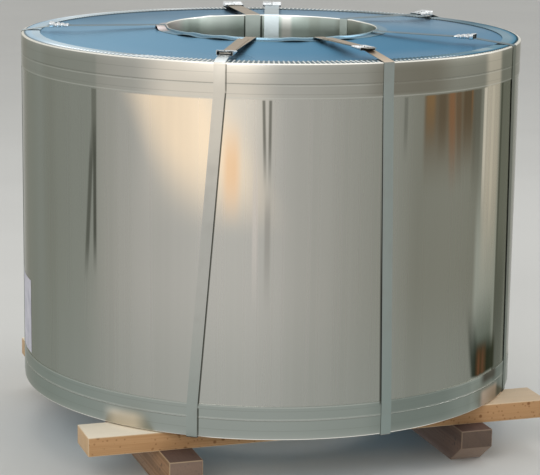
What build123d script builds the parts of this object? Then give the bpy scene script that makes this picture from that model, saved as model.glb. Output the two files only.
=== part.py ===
from build123d import *
import math
import os

os.makedirs("parts", exist_ok=True)

# A coil of tinned steel strip, packed for shipping and standing on a timber skid with its eye upright.
# Millimetres, +Z up. The origin is on the floor under the middle of the eye.
# X runs along the two upper beams of the skid, and Y along its two lower runners.

# Skid
beam_length = 1120.0
beam_width = 108.0
beam_thickness = 44.0
beam_inset = 157.0
beam_stagger = 28.0
runner_length = 1024.0
runner_width = 78.0
runner_height = 88.0
runner_inset = 203.0
runner_stagger = 17.0
bevel_height = 46.0
bevel_length = 62.0

# Wound strip
coil_radius = 599.0
bore_radius = 254.0
strip_width = 832.0
turn_step = 2.0
turn_steps = 1

# Wrapping sheets
cover_thickness = 2.0
cover_clearance = 0.3
cover_dish = 12.0
edge_thickness = 1.0
outer_leg = 74.0
outer_flange = 44.0
inner_leg = 60.0
inner_flange = 26.0
lip_height = 5.0
lip_width = 5.0

# Crimps that gather the outer rings' flanges
crimps = 120
crimp_width = 14.0
crimp_height = 2.0
crimp_margin = 3.0

# Strapping
strap_thickness = 0.9
strap_seat = 0.1
strap_bow = 7.0
narrow_strap = 25.4
wide_strap = 37.0
tail_angle = 7.0
seal_length = 45.0
seal_flange = 6.0
seal_mouth = 12.0
seal_wall = 1.2
seal_clearance = 0.2
seal_land = 28.0
lean_sections = 5

# Paper label
label_width = 200.0
label_height = 178.0
label_thickness = 0.3
label_glue = 0.1
label_angle = 172.0
label_foot = 6.0

# Each strap: its name, angle at the top, angle at the bottom, width, how far its seal is from the rim,
# and the length of the free end past the middle of the seal
straps = [
    ("left", 165.0, 165.0, narrow_strap, 90.0, 20.0),
    ("front_left", 241.2, 235.8, narrow_strap, 75.0, 20.0),
    ("front_right", 276.9, 278.4, narrow_strap, 122.0, 52.0),
    ("right", 322.0, 325.0, narrow_strap, 118.0, 20.0),
    ("back_right", 26.0, 26.0, narrow_strap, 55.0, 20.0),
    ("back", 71.6, 71.6, wide_strap, 55.0, 20.0),
    ("back_left", 82.5, 82.5, wide_strap, 55.0, 20.0),
]

# Levels and radii that follow from the sizes above
skid_top = runner_height + beam_thickness
flange_level = cover_thickness + edge_thickness
wrap_thickness = flange_level + crimp_height
coil_bottom = skid_top + strap_thickness + strap_seat + wrap_thickness
coil_top = coil_bottom + strip_width
leg_radius = coil_radius + edge_thickness
eye_radius = bore_radius - edge_thickness
flange_radius = leg_radius - outer_flange
cover_radius = bore_radius + cover_clearance
ring_width = (coil_radius - bore_radius) / (turn_steps + 1)
slip_radius = coil_radius - ring_width
dish_slope = (cover_dish - turn_step) / (slip_radius - cover_radius)
dish_radius = slip_radius + turn_step / dish_slope
runner_centre = leg_radius - runner_inset - runner_width / 2
beam_centre = leg_radius - beam_inset - beam_width / 2
top_end = 1
bottom_end = -1


def level(end, outward):
    """Height of a point over an end of the coil, the given distance out from the strip's edge."""
    return coil_top + outward if end == top_end else coil_bottom - outward


def dished(end, radius):
    """How far a cover has risen at a radius inside the dish: the lower one lies flat."""
    if end == bottom_end:
        return 0
    return dish_slope * (dish_radius - radius)


def lip_level(end):
    """Height of the eye's lip: it stands up on top, and is level with the outer ring's crimps below."""
    if end == bottom_end:
        return level(end, wrap_thickness)
    return level(end, cover_thickness + dished(end, cover_radius) + lip_height)


def rim_level(end):
    """Height of the surface that a strap bears on at the rim: the flange on top, the crimps below."""
    if end == bottom_end:
        return level(end, wrap_thickness)
    return level(end, flange_level)


def turned(outline):
    """Turns an outline of radius and height about the coil's axis."""
    profile = make_face(Polyline(*[(radius, 0, height) for radius, height in outline], close=True))
    return revolve(profile, Axis.Z)


def wound_strip():
    """The coil itself, its ends stepping up where the inner turns have slipped."""
    edges = [coil_radius - ring_width * count for count in range(turn_steps + 2)]
    lower = []
    upper = []
    for count in range(turn_steps + 1):
        slip = turn_step * count
        lower += [(edges[count], coil_bottom + slip), (edges[count + 1], coil_bottom + slip)]
        upper += [(edges[count], coil_top + slip), (edges[count + 1], coil_top + slip)]
    return turned(lower + upper[::-1])


def end_cover(end):
    """A sheet that hides the turns on one end: on top it rides up the slipped turns to the eye's lip."""
    outer = coil_radius - cover_clearance
    rise = dished(end, cover_radius)
    return turned([
        (cover_radius, level(end, rise)),
        (dish_radius, level(end, 0)),
        (outer, level(end, 0)),
        (outer, level(end, cover_thickness)),
        (dish_radius, level(end, cover_thickness)),
        (cover_radius, level(end, cover_thickness + rise)),
    ])


def crimp(end):
    """A pleat of a flange, full near the flange's inner edge and dying out before the rim."""
    inner = flange_radius + crimp_margin
    foot_left = Vector(inner, -crimp_width / 2, level(end, flange_level))
    foot_right = Vector(inner, crimp_width / 2, level(end, flange_level))
    tip = Vector(leg_radius - crimp_margin, 0, level(end, flange_level))
    crest = Vector(inner, 0, level(end, wrap_thickness))
    foot = Face(Wire.make_polygon([foot_left, foot_right, tip]))
    inner_end = Face(Wire.make_polygon([foot_left, foot_right, crest]))
    left_side = Face(Wire.make_polygon([foot_left, tip, crest]))
    right_side = Face(Wire.make_polygon([foot_right, tip, crest]))
    return Solid(Shell([foot, inner_end, left_side, right_side]))


def outer_edge_ring(end):
    """An angle ring round the rim, its leg on the coil's side and its crimped flange over the cover."""
    leg_end = level(end, -outer_leg)
    ring = turned([
        (leg_radius, leg_end),
        (leg_radius, level(end, flange_level)),
        (flange_radius, level(end, flange_level)),
        (flange_radius, level(end, cover_thickness)),
        (coil_radius, level(end, cover_thickness)),
        (coil_radius, leg_end),
    ])
    return ring + [place * crimp(end) for place in PolarLocations(0, crimps)]


def inner_edge_ring(end):
    """An angle ring in the eye, its leg on the bore, a raised lip and a flange over the cover."""
    lip_outer = eye_radius + lip_width
    flange_end = bore_radius + inner_flange
    leg_end = level(end, -inner_leg)

    def over_cover(radius, outward):
        return level(end, cover_thickness + dished(end, radius) + outward)

    return turned([
        (eye_radius, leg_end),
        (eye_radius, lip_level(end)),
        (lip_outer, lip_level(end)),
        (lip_outer, over_cover(lip_outer, edge_thickness)),
        (flange_end, over_cover(flange_end, edge_thickness)),
        (flange_end, over_cover(flange_end, 0)),
        (bore_radius, over_cover(bore_radius, 0)),
        (bore_radius, leg_end),
    ])


class StrapLine:
    """The line that a strap's inside face follows, in the plane through the axis."""

    def __init__(self, width, seal_inset):
        self.inside = math.sqrt(eye_radius**2 - (width / 2) ** 2) - strap_seat
        self.outside = leg_radius + strap_seat
        self.lip = {}
        self.rim = {}
        for end in (bottom_end, top_end):
            self.lip[end] = Vector(eye_radius + lip_width, 0, lip_level(end) + end * strap_seat)
            self.rim[end] = Vector(self.outside, 0, rim_level(end) + end * strap_seat)
        seal_radius = leg_radius - seal_inset
        self.seal_inner = self.bowed(seal_radius - seal_land)
        self.seal_outer = self.bowed(seal_radius + seal_land)
        self.seal_middle = (self.seal_inner + self.seal_outer) / 2
        self.along = (self.seal_outer - self.seal_inner).normalized()
        self.up = Vector(-self.along.Z, 0, self.along.X)

    def bowed(self, radius):
        """A point of the top run at this radius, raised by the strap's bow."""
        lip, rim = self.lip[top_end], self.rim[top_end]
        share = (radius - lip.X) / (rim.X - lip.X)
        return lip + (rim - lip) * share + Vector(0, 0, strap_bow)

    def loop(self):
        """The closed face inside the strap."""
        top, bottom = self.lip[top_end], self.lip[bottom_end]
        corners = [
            Vector(self.inside, 0, bottom.Z),
            bottom,
            self.rim[bottom_end],
            self.rim[top_end],
            self.seal_outer,
            self.seal_inner,
            top,
            Vector(self.inside, 0, top.Z),
        ]
        return make_face(Polyline(*corners, close=True))

    def tail(self, length):
        """The free end that laps over the strap in its seal and springs up towards the seal's mouth."""
        lift = math.radians(tail_angle)
        springing = self.along * math.cos(lift) + self.up * math.sin(lift)
        start = self.seal_inner + self.up * strap_thickness
        bend = self.seal_middle + self.up * strap_thickness
        tip = bend + springing * length
        thickness = self.up * strap_thickness
        corners = [start, bend, tip, tip + thickness, bend + thickness, start + thickness]
        return make_face(Polyline(*corners, close=True))


def leaning_run(radius, width, low, high, low_angle, high_angle):
    """An upright stretch of strap that slants round the coil between two heights."""
    sections = []
    for step in range(lean_sections):
        share = step / (lean_sections - 1)
        height = low + (high - low) * share
        angle = low_angle + (high_angle - low_angle) * share
        place = Pos(0, 0, height) * Rot(0, 0, angle) * Pos(radius, 0, 0)
        sections.append(place * Rectangle(strap_thickness, width))
    return loft(sections, ruled=True)


def strap(top_angle, bottom_angle, width, seal_inset, tail_length):
    """A band through the eye and down the side, with its bottom slid round where it slants."""
    line = StrapLine(width, seal_inset)
    loop = line.loop()
    outline = offset(loop, strap_thickness, kind=Kind.INTERSECTION)
    band = extrude(outline - loop, amount=width / 2, both=True)
    lap = extrude(line.tail(tail_length), amount=width / 2, both=True)
    low = level(bottom_end, -inner_leg)
    high = level(top_end, -inner_leg)
    reach = 3 * leg_radius
    above = Pos(0, 0, high + reach / 2) * Box(reach, reach, reach)
    below = Pos(0, 0, low - reach / 2) * Box(reach, reach, reach)
    band_top = Rot(0, 0, top_angle) * ((band & above) + lap)
    band_bottom = Rot(0, 0, bottom_angle) * (band & below)
    half = strap_thickness / 2
    outer_run = leaning_run(line.outside + half, width, low, high, bottom_angle, top_angle)
    inner_run = leaning_run(line.inside - half, width, low, high, bottom_angle, top_angle)
    return band_top + band_bottom + outer_run + inner_run


def seal_section(offset, width, low, high):
    """The corners of a seal's cross-section, this far along the strap from the seal's middle."""
    left, right = -width / 2, width / 2
    return [
        Vector(offset, left, low),
        Vector(offset, right, low),
        Vector(offset, right, high),
        Vector(offset, left, high),
    ]


def tapered(near, far):
    """A flat-sided solid between two cross-sections."""
    sides = [[near[i], near[(i + 1) % 4], far[(i + 1) % 4], far[i]] for i in range(4)]
    faces = [Face(Wire.make_polygon(corners)) for corners in [near, far] + sides]
    return Solid(Shell(faces))


def seal(angle, width, seal_inset):
    """A sleeve that closes a strap over its lap: snug towards the eye, and flared open towards the rim."""
    line = StrapLine(width, seal_inset)
    half = seal_length / 2
    snug_width = width + 2 * seal_clearance
    snug_top = 2 * strap_thickness + seal_clearance
    mouth_width = width + 2 * seal_flange
    low = -seal_clearance
    foot = low - seal_wall
    mouth_top = foot + seal_mouth
    body = tapered(
        seal_section(-half, mouth_width, foot, snug_top + seal_wall),
        seal_section(half, mouth_width, foot, mouth_top),
    )
    hollow = tapered(
        seal_section(-half, snug_width, low, snug_top),
        seal_section(half, mouth_width - 2 * seal_wall, low, mouth_top - seal_wall),
    )
    tilt = math.degrees(math.atan2(-line.along.Z, line.along.X))
    return Rot(0, 0, angle) * Pos(*line.seal_middle) * Rot(0, tilt, 0) * (body - hollow)


def paper_label():
    """A blank sheet stuck to the side of the coil."""
    arc = math.degrees(label_width / coil_radius)
    face_radius = coil_radius + label_glue + label_thickness / 2
    middle = level(bottom_end, -outer_leg) + label_foot + label_height / 2
    profile = Plane.XZ * Pos(face_radius, middle) * Rectangle(label_thickness, label_height)
    return Rot(0, 0, label_angle - arc / 2) * revolve(profile, Axis.Z, revolution_arc=arc)


def beam(side):
    """An upper timber of the skid, across both runners."""
    along = beam_stagger if side > 0 else 0
    place = Pos(along, side * beam_centre, runner_height + beam_thickness / 2)
    return place * Box(beam_length, beam_width, beam_thickness)


def runner(side):
    """A lower timber of the skid, its ends bevelled so that forks and chains ride over them."""
    half = runner_length / 2
    outline = [
        (-half, runner_height),
        (half, runner_height),
        (half, bevel_height),
        (half - bevel_length, 0),
        (bevel_length - half, 0),
        (-half, bevel_height),
    ]
    profile = make_face(Polyline(*[(0, y, z) for y, z in outline], close=True))
    place = Pos(side * runner_centre, side * runner_stagger, 0)
    return place * extrude(profile, amount=runner_width / 2, both=True, dir=(1, 0, 0))


pieces = {
    "steel_coil": wound_strip(),
    "paper_label": paper_label(),
    "skid_beam_front": beam(-1),
    "skid_beam_back": beam(1),
    "skid_runner_left": runner(-1),
    "skid_runner_right": runner(1),
}
for name, end in (("top", top_end), ("bottom", bottom_end)):
    pieces[f"end_cover_{name}"] = end_cover(end)
    pieces[f"outer_edge_ring_{name}"] = outer_edge_ring(end)
    pieces[f"inner_edge_ring_{name}"] = inner_edge_ring(end)
for name, top_angle, bottom_angle, width, seal_inset, tail_length in straps:
    pieces[f"strap_{name}"] = strap(top_angle, bottom_angle, width, seal_inset, tail_length)
    pieces[f"seal_{name}"] = seal(top_angle, width, seal_inset)

for name, piece in pieces.items():
    piece.label = name
    export_step(piece, f"parts/{name}.step")
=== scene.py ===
"""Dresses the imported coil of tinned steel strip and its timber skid.

Metres, +Z up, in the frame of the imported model: the origin is on the floor under the middle of the eye.
"""
import logging
import math
from contextlib import contextmanager
from dataclasses import dataclass
from enum import Enum
from typing import Callable, Iterator, Optional, Sequence

import bmesh
import bpy
from mathutils import Matrix, Vector


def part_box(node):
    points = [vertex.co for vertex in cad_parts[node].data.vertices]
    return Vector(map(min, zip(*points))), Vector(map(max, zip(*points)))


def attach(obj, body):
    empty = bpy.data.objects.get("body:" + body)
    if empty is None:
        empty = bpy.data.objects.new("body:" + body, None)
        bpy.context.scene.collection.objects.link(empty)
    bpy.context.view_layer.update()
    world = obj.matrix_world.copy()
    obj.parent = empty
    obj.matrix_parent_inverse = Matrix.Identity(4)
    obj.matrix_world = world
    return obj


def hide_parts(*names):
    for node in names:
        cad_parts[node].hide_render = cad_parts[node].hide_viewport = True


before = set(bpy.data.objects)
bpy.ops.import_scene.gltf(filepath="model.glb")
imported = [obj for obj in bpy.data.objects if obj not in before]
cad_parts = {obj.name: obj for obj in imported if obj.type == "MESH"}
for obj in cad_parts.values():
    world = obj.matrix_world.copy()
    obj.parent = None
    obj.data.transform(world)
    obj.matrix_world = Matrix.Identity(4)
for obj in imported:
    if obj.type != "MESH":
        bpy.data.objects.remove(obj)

MM = 0.001
BODY = "root"
log = logging.getLogger("coil")
Point = tuple[float, float]
Piece = bpy.types.Object
Socket = bpy.types.NodeSocket
Finish = bpy.types.Material

# Points closer than this are one
WELD = 0.01 * MM
# The side of the coil that faces the photograph's camera, in degrees round from +X
FRONT = 251.7
# Between these radii the eye's own tones give way to the rest's
EYE_LIMIT = (0.30, 0.32)


# Sizes that several pieces share


@dataclass(frozen=True)
class CoilSizes:
    """The coil's sizes in metres, as the solids have them."""

    coil_radius: float = 599 * MM
    bore_radius: float = 254 * MM
    bottom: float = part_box("steel_coil")[0].z
    top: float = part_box("outer_edge_ring_top")[1].z - 5 * MM
    sheet: float = 1 * MM
    cover: float = 2 * MM
    crimp_height: float = 2 * MM
    outer_leg: float = 74 * MM
    inner_leg: float = 60 * MM
    inner_flange: float = 26 * MM
    dish: float = 12 * MM
    dish_radius: float = 461 * MM
    lip_height: float = 5 * MM
    lip_width: float = 5 * MM

    @property
    def rim_radius(self) -> float:
        """Radius of the outer rings' legs."""
        return self.coil_radius + self.sheet

    @property
    def eye_radius(self) -> float:
        """Radius of the eye inside the inner rings' legs."""
        return self.bore_radius - self.sheet

    @property
    def middle(self) -> float:
        """Height halfway up the strip."""
        return (self.top + self.bottom) / 2

    @property
    def flange_level(self) -> float:
        """Height of the upper outer ring's flange between its pleats."""
        return self.top + self.cover + self.sheet

    @property
    def under_cover(self) -> float:
        """Height of the lower rings' flanges."""
        return self.bottom - self.cover - self.sheet

    @property
    def lip(self) -> float:
        """Height of the eye's upper lip."""
        return self.top + self.cover + self.dish + self.lip_height

    def rise(self, radius: float) -> float:
        """How far the top cover has risen at a radius."""
        return self.dish * max(0.0, (self.dish_radius - radius) / (self.dish_radius - self.bore_radius))


SIZES = CoilSizes()


class End(Enum):
    """The two ends of the coil."""

    TOP = 1
    BOTTOM = -1

    @property
    def word(self) -> str:
        """The end's name as the nodes use it."""
        return self.name.lower()


class Slot(Enum):
    """The material slots."""

    TINNED = "tinned_steel"
    RING = "edge_ring_steel"
    STRAP = "strap_steel"
    COVER = "blue_cover_sheet"
    BEAM = "pine_beam"
    RUNNER = "pine_runner"
    PAPER = "label_paper"


# Modelling by hand: each function is a step at the bench


def choose(*pieces: Piece) -> None:
    """Selects pieces in object mode, the first of them active.

    Args:
        pieces: the pieces.
    """
    bpy.ops.object.select_all(action="DESELECT")
    for piece in pieces:
        piece.select_set(True)
    bpy.context.view_layer.objects.active = pieces[0]


def start(add: Callable, name: str, **settings: object) -> Piece:
    """Adds a primitive at its size and place.

    Args:
        add: the primitive's operator.
        name: the new piece's name.
        settings: the operator's own settings.

    Returns:
        The new piece, selected and active.
    """
    bpy.ops.object.select_all(action="DESELECT")
    add(**settings)
    piece = bpy.context.object
    piece.name = piece.data.name = name
    return piece


@contextmanager
def editing() -> Iterator[None]:
    """Edits the active piece, all its points selected, and leaves edit mode at the end."""
    bpy.ops.object.mode_set(mode="EDIT")
    bpy.ops.mesh.select_mode(type="VERT")
    bpy.ops.mesh.select_all(action="SELECT")
    yield
    bpy.ops.object.mode_set(mode="OBJECT")


def pick(piece: Piece, test: Callable[[Vector], bool], kind: str = "VERT") -> None:
    """Selects a mesh's elements by place, in edit mode.

    Args:
        piece: the piece that is being edited.
        test: says of a point, in world space, whether to select what has its middle there.
        kind: VERT, EDGE or FACE.
    """
    bpy.ops.mesh.select_mode(type=kind)
    bpy.ops.mesh.select_all(action="DESELECT")
    mesh = bmesh.from_edit_mesh(piece.data)
    for element in {"VERT": mesh.verts, "EDGE": mesh.edges, "FACE": mesh.faces}[kind]:
        corners = [element] if kind == "VERT" else element.verts
        middle = sum((corner.co for corner in corners), Vector()) / len(corners)
        element.select = test(piece.matrix_world @ middle)
    mesh.select_flush_mode()
    bmesh.update_edit_mesh(piece.data)


def pick_edges(piece: Piece, test: Callable[[bmesh.types.BMEdge], bool]) -> None:
    """Selects the edges that pass a test, in edit mode.

    Args:
        piece: the piece that is being edited.
        test: says of an edge whether to select it.
    """
    bpy.ops.mesh.select_mode(type="EDGE")
    mesh = bmesh.from_edit_mesh(piece.data)
    for edge in mesh.edges:
        edge.select = test(edge)
    mesh.select_flush_mode()
    bmesh.update_edit_mesh(piece.data)


def draw_line(points: Sequence[Point]) -> None:
    """Merges the plane that is being edited to a point, and extrudes it to a line.

    Args:
        points: the line's radii and heights.
    """
    bpy.ops.mesh.merge(type="CENTER")
    for (radius, height), (next_radius, next_height) in zip(points, points[1:]):
        step = (next_radius - radius, 0, next_height - height)
        bpy.ops.mesh.extrude_vertices_move(TRANSFORM_OT_translate={"value": step})
    bpy.ops.mesh.select_all(action="SELECT")


def sweep(angle: float, steps: int = 1, copies: bool = False) -> None:
    """Spins the selection round the coil's axis, or sets copies of it round it."""
    bpy.ops.mesh.spin(steps=steps, dupli=copies, angle=angle, center=(0, 0, 0), axis=(0, 0, 1))


def turn_about_axis(angle: float) -> None:
    """Turns the selection anticlockwise about the coil's axis."""
    bpy.ops.transform.rotate(value=-angle, orient_axis="Z", center_override=(0, 0, 0))


def raise_by(height: float, **settings: object) -> None:
    """Lifts the selection."""
    bpy.ops.transform.translate(value=(0, 0, height), **settings)


def weld() -> None:
    """Merges what meets, and points all faces outwards, in edit mode."""
    bpy.ops.mesh.select_all(action="SELECT")
    bpy.ops.mesh.remove_doubles(threshold=WELD)
    bpy.ops.mesh.normals_make_consistent(inside=False)


def face_away(piece: Piece, outwards: Callable[[bpy.types.MeshPolygon], float]) -> None:
    """Points an open sheet's faces the right way.

    Args:
        piece: the sheet, in object mode.
        outwards: how much of a face points the right way, less than nothing where it points the wrong way.
    """
    with editing():
        bpy.ops.mesh.normals_make_consistent(inside=False)
    if sum(outwards(face) for face in piece.data.polygons) < 0:
        with editing():
            bpy.ops.mesh.flip_normals()


def modify(piece: Piece, kind: str, **settings: object) -> None:
    """Adds a modifier and applies it.

    Args:
        piece: the piece to change, in object mode.
        kind: the modifier's type.
        settings: its values.
    """
    bpy.context.view_layer.objects.active = piece
    modifier = piece.modifiers.new(kind.title(), kind)
    for key, value in settings.items():
        setattr(modifier, key, value)
    bpy.ops.object.modifier_apply(modifier=modifier.name)


def apply_place(piece: Piece) -> None:
    """Puts the piece's place into its mesh."""
    choose(piece)
    bpy.ops.object.transform_apply(location=True, rotation=True, scale=True)


def turned(name: str, profile: Sequence[Point], segments: int, closed: bool = True) -> Piece:
    """Extrudes a circle ring by ring through a profile.

    Args:
        name: the piece's name.
        profile: radii and heights.
        segments: how many sides the circle has.
        closed: whether the last ring is bridged to the first.

    Returns:
        The turned piece, in object mode.
    """
    radius, height = profile[0]
    circle = bpy.ops.mesh.primitive_circle_add
    piece = start(circle, name, vertices=segments, radius=radius, location=(0, 0, height))
    with editing():
        for next_radius, next_height in profile[1:]:
            step = (0, 0, next_height - height)
            bpy.ops.mesh.extrude_region_move(TRANSFORM_OT_translate={"value": step})
            factor = next_radius / radius
            bpy.ops.transform.resize(value=(factor, factor, 1), center_override=(0, 0, next_height))
            radius, height = next_radius, next_height
        if closed:
            bpy.ops.mesh.select_mode(type="EDGE")
            bpy.ops.mesh.select_all(action="DESELECT")
            bpy.ops.mesh.select_non_manifold()
            bpy.ops.mesh.bridge_edge_loops()
        weld()
    return piece


def dress(piece: Piece, skin: Finish, slot: Slot, *nodes: str, smooth: float = 35) -> None:
    """Gives a finished piece its material, its place in the frame and the nodes it stands for.

    Args:
        piece: the finished piece.
        skin: its material.
        slot: the material's slot; not used.
        nodes: the nodes that it replaces.
        smooth: faces that meet at less than this many degrees are shaded as one.
    """
    apply_place(piece)
    bpy.ops.object.shade_smooth_by_angle(angle=math.radians(smooth))
    piece.data.materials.clear()
    piece.data.materials.append(skin)
    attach(piece, BODY)
    if nodes:
        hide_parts(*nodes)
    log.info("%s: %d faces", piece.name, len(piece.data.polygons))


# Colours and nodes

EASE = {"interpolation_type": "SMOOTHSTEP"}
BLEND = {"output": 2, "data_type": "RGBA"}


def linear(code: str) -> tuple[float, float, float, float]:
    """Turns an sRGB hex colour to linear light.

    Args:
        code: six hex digits after a hash.

    Returns:
        Red, green, blue and an alpha of one.
    """
    parts = [int(code[i:i + 2], 16) / 255 for i in (1, 3, 5)]
    red, green, blue = [c / 12.92 if c <= 0.04045 else ((c + 0.055) / 1.055) ** 2.4 for c in parts]
    return red, green, blue, 1.0


class Tree:
    """A node tree that grows one node at a time."""

    def __init__(self, tree: bpy.types.NodeTree) -> None:
        """Takes a tree over."""
        self.tree = tree

    def add(
        self, kind: str, links: Optional[dict] = None, output: int | str = 0, **settings: object,
    ) -> Socket:
        """Adds a node with its settings and links.

        Args:
            kind: the node's type, after the words that all of them start with.
            links: for each input, by name or number, a socket to link from or a value to set.
            output: which of its outputs is wanted.
            settings: the node's own properties.

        Returns:
            That output.
        """
        node = self.tree.nodes.new("ShaderNode" + kind)
        for key, value in settings.items():
            setattr(node, key, value)
        for key, value in (links or {}).items():
            self.plug(value, node.inputs[key])
        return node.outputs[output]

    def plug(self, value: object, socket: Socket) -> None:
        """Links a socket to an input, or sets the input to a plain value.

        Args:
            value: the socket, a hex colour or another value.
            socket: the input.
        """
        if isinstance(value, Socket):
            self.tree.links.new(value, socket)
        else:
            socket.default_value = linear(value) if isinstance(value, str) else value


class Skin(Tree):
    """A material in object coordinates."""

    def __init__(self, name: str) -> None:
        """Starts from a bare shader.

        Args:
            name: what the real material is called.
        """
        self.material = bpy.data.materials.new(name)
        self.material.use_nodes = True
        super().__init__(self.material.node_tree)
        self.shader = self.tree.nodes["Principled BSDF"]
        self.place = self.add("TexCoord", output="Object")

    def tint(
        self, colour: object, tone: object, measure: Socket, start_at: float, end_at: float,
        first: object = 0.0, last: object = 1.0,
    ) -> Socket:
        """Lays a tone over a colour, by a share that eases along a measure.

        Args:
            colour: what is covered, as a socket or a hex colour.
            tone: what covers it.
            measure: what the share follows.
            start_at: the measure where the share starts to change.
            end_at: the measure where it stops.
            first: the share before.
            last: the share after.

        Returns:
            The tinted colour.
        """
        share = self.add("MapRange", {0: measure, 1: start_at, 2: end_at, 3: first, 4: last}, **EASE)
        return self.add("Mix", {0: share, 6: colour, 7: tone}, **BLEND)

    def finish(self, **inputs: object) -> Finish:
        """Plugs the shader's inputs, whose spaces are written as underscores.

        Args:
            inputs: a socket or a value for each.

        Returns:
            The finished material.
        """
        for key, value in inputs.items():
            self.plug(value, self.shader.inputs[key.replace("_", " ")])
        return self.material


class CoilSkin(Skin):
    """A material that knows where it lies round the coil."""

    def __init__(self, name: str) -> None:
        """Measures the turn from the front in radians, the radius, the height and how far the face lies flat.

        Args:
            name: what the real material is called.
        """
        super().__init__(name)
        flat = self.add("VectorMath", {0: self.place, 1: (1, 1, 0)}, operation="MULTIPLY")
        self.radius = self.add("VectorMath", {0: flat}, "Value", operation="LENGTH")
        ahead = {"Vector": self.place, "Angle": math.radians(-FRONT)}
        faced = self.add("VectorRotate", ahead, rotation_type="Z_AXIS")
        self.nearness, self.side, self.height = self.add("SeparateXYZ", {0: faced}).node.outputs
        self.turn = self.add("Math", {0: self.side, 1: self.nearness}, operation="ARCTAN2")
        normal = self.add("NewGeometry", output="Normal")
        upright = self.add("SeparateXYZ", {0: normal}, 2)
        self.lying = self.add("Math", {0: upright}, operation="ABSOLUTE")

    def apart(self, measure: Socket, value: float) -> Socket:
        """How far a measure is from a value, either way."""
        gap = self.add("Math", {0: measure, 1: value}, operation="SUBTRACT")
        return self.add("Math", {0: gap}, operation="ABSOLUTE")

    def in_eye(self, share: float = 1.0) -> Socket:
        """A share on the eye's wall and lip, and none further out."""
        return self.add("MapRange", {0: self.radius, 1: EYE_LIMIT[0], 2: EYE_LIMIT[1], 3: share, 4: 0})

    def reflect(self, colour: object, sheens: Sequence["Sheen"], strength: float = 1.0) -> object:
        """Lays reflections over a colour, one after another.

        Args:
            colour: what they cover.
            sheens: the reflections.
            strength: a share of their own strength.

        Returns:
            The colour with the reflections over it.
        """
        for sheen in sheens:
            colour = sheen.lay(self, colour, strength)
        return colour


# Reflections


@dataclass(frozen=True)
class Sheen:
    """An upright reflection, soft at both sides. Angles are degrees round the coil, heights metres.

    Its core is the share of its width that has the full tone, and its lean is how many degrees further
    round it lies for each metre down.
    """

    angle: float
    width: float
    tone: str
    share: float = 0.9
    core: float = 0.3
    low: float = 0.0
    high: float = 1.0
    low_fade: float = 0.15
    high_fade: float = 0.004
    lean: float = 0.0

    def lay(self, skin: CoilSkin, colour: object, strength: float = 1.0) -> Socket:
        """Lays the reflection over a colour.

        Args:
            skin: the material that it goes into.
            colour: what it covers.
            strength: a share of its own strength.

        Returns:
            The colour with the reflection over it.
        """
        lean, edge = math.radians(self.lean), math.radians(self.width)
        offset = math.radians((self.angle - FRONT + 180) % 360 - 180) + lean * (self.low + self.high) / 2
        across = skin.add("Math", {0: skin.turn, 1: offset}, operation="SUBTRACT")
        if lean:
            across = skin.add("Math", {0: skin.height, 1: lean, 2: across}, operation="MULTIPLY_ADD")
        if abs(offset) + edge > 3:
            # It may reach round the back, where the turn jumps
            across = skin.add("Math", {0: across, 1: math.pi, 2: -math.pi}, operation="WRAP")
        across = skin.add("Math", {0: across}, operation="ABSOLUTE")
        share = self.share * strength
        if self.low > 0:
            foot = {0: skin.height, 1: self.low, 2: self.low + self.low_fade, 4: share}
            share = skin.add("MapRange", foot, **EASE)
        if self.high < 1:
            head = {0: skin.height, 1: self.high, 2: self.high - self.high_fade, 4: share}
            share = skin.add("MapRange", head, **EASE)
        return skin.tint(colour, self.tone, across, edge * self.core, edge, share, 0)


RING_EDGE = SIZES.top - SIZES.outer_leg
RING_FOOT = SIZES.bottom + SIZES.outer_leg

# Broad tones that bright tin mirrors, which the straps and the edge rings share with it
BROAD_TONES = (
    Sheen(241, 42, "#AEACA6", 1.0, 0.15),
    Sheen(198, 18, "#82867E", 0.75, 0.35),
    Sheen(201.4, 11, "#80837B", 0.9, 0.9, low=0.36, low_fade=0.30),
    Sheen(186, 9, "#8E938E", 0.8),
    Sheen(296, 17, "#77776C", 0.8, 0.6),
    Sheen(309.4, 6.4, "#989B91", 0.95, 0.7, high=0.75, high_fade=0.25),
    Sheen(309.9, 4.9, "#B6AF9F", 1.0, 0.45, low=0.36, low_fade=0.36),
    Sheen(320.2, 6.4, "#6B6E64", 0.9, 0.75, lean=3),
    Sheen(317.8, 3.6, "#3C403A", 0.8, 0.6, high=0.60, high_fade=0.30),
    Sheen(345, 18, "#A3A198", 0.8),
    Sheen(45, 16, "#B3AEA0", 0.8),
    Sheen(108, 12, "#B5B0A3", 0.8),
    Sheen(140, 16, "#8B8C83", 0.8),
    Sheen(168, 9, "#A1A39B", 0.6),
)
# A pale light on the upper half of the front
PALE_LIGHT = (
    Sheen(238.2, 17, "#D0C8BB", 0.95, 0.40, low=0.58, low_fade=0.27),
)
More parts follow.
